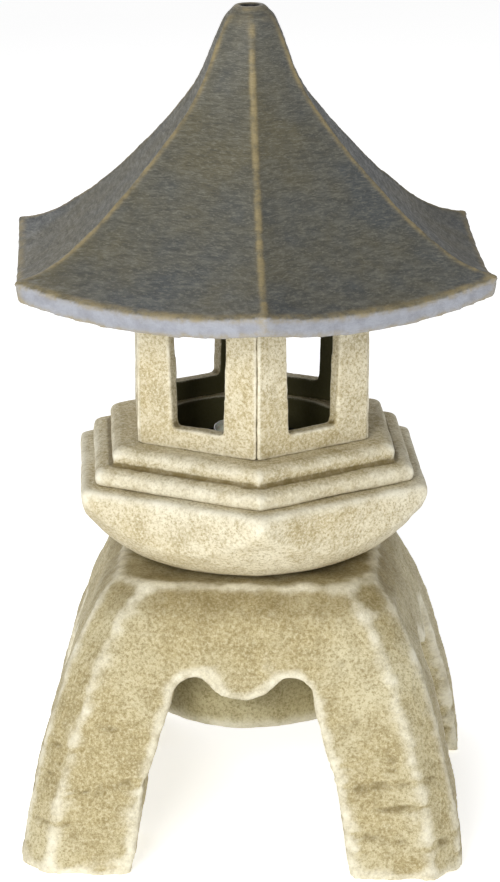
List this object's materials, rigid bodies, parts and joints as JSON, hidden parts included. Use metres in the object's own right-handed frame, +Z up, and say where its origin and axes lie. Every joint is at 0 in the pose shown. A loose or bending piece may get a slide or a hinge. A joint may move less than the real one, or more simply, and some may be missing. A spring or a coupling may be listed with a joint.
{
  "type": "stone lantern",
  "caption": "Pagoda garden lantern of cast stone with an arched base, bowl, windowed light room and lift-off roof over a tea light.",
  "frame": {"origin": "on the ground, at the middle of the lantern's footprint", "axes": "+Z up along the lantern's axis; one corner of the hexagonal roof points along -Y"},
  "size_m": [0.246, 0.278, 0.43],
  "materials": {
    "pale_stone": "Pale sand-coloured cast stone, matt, fine grain, olive-brown wash in the hollows",
    "shaded_stone": "The same cast stone, unpainted olive-brown underside",
    "dark_stone": "Bronze-grey painted cast stone with rubbed tan ridges and a grey-lilac eave",
    "tray_steel": "Dark painted sheet steel",
    "cup_aluminium": "Thin drawn aluminium",
    "wax": "Off-white wax",
    "wick": "Waxed cotton"
  },
  "bodies": {
    "lantern": {"leg_base": "pale_stone", "base_plug": "shaded_stone", "bowl": "pale_stone", "stepped_plinth": "pale_stone", "window_panel_1": "pale_stone", "window_panel_2": "pale_stone", "window_panel_3": "pale_stone", "window_panel_4": "pale_stone", "window_panel_5": "pale_stone", "window_panel_6": "pale_stone", "candle_tray": "tray_steel"},
    "roof": {"roof": "dark_stone"},
    "tea_light": {"tea_light_cup": "cup_aluminium", "candle_wax": "wax", "candle_wick": "wick"}
  },
  "joints": [
    {"name": "roof_lift", "type": "slide", "parent": "lantern", "child": "roof", "axis": [0, 0, 1], "range_m": [0, 0.12]},
    {"name": "tea_light_lift", "type": "slide", "parent": "lantern", "child": "tea_light", "axis": [0, 0, 1], "range_m": [0, 0.06]}
  ]
}
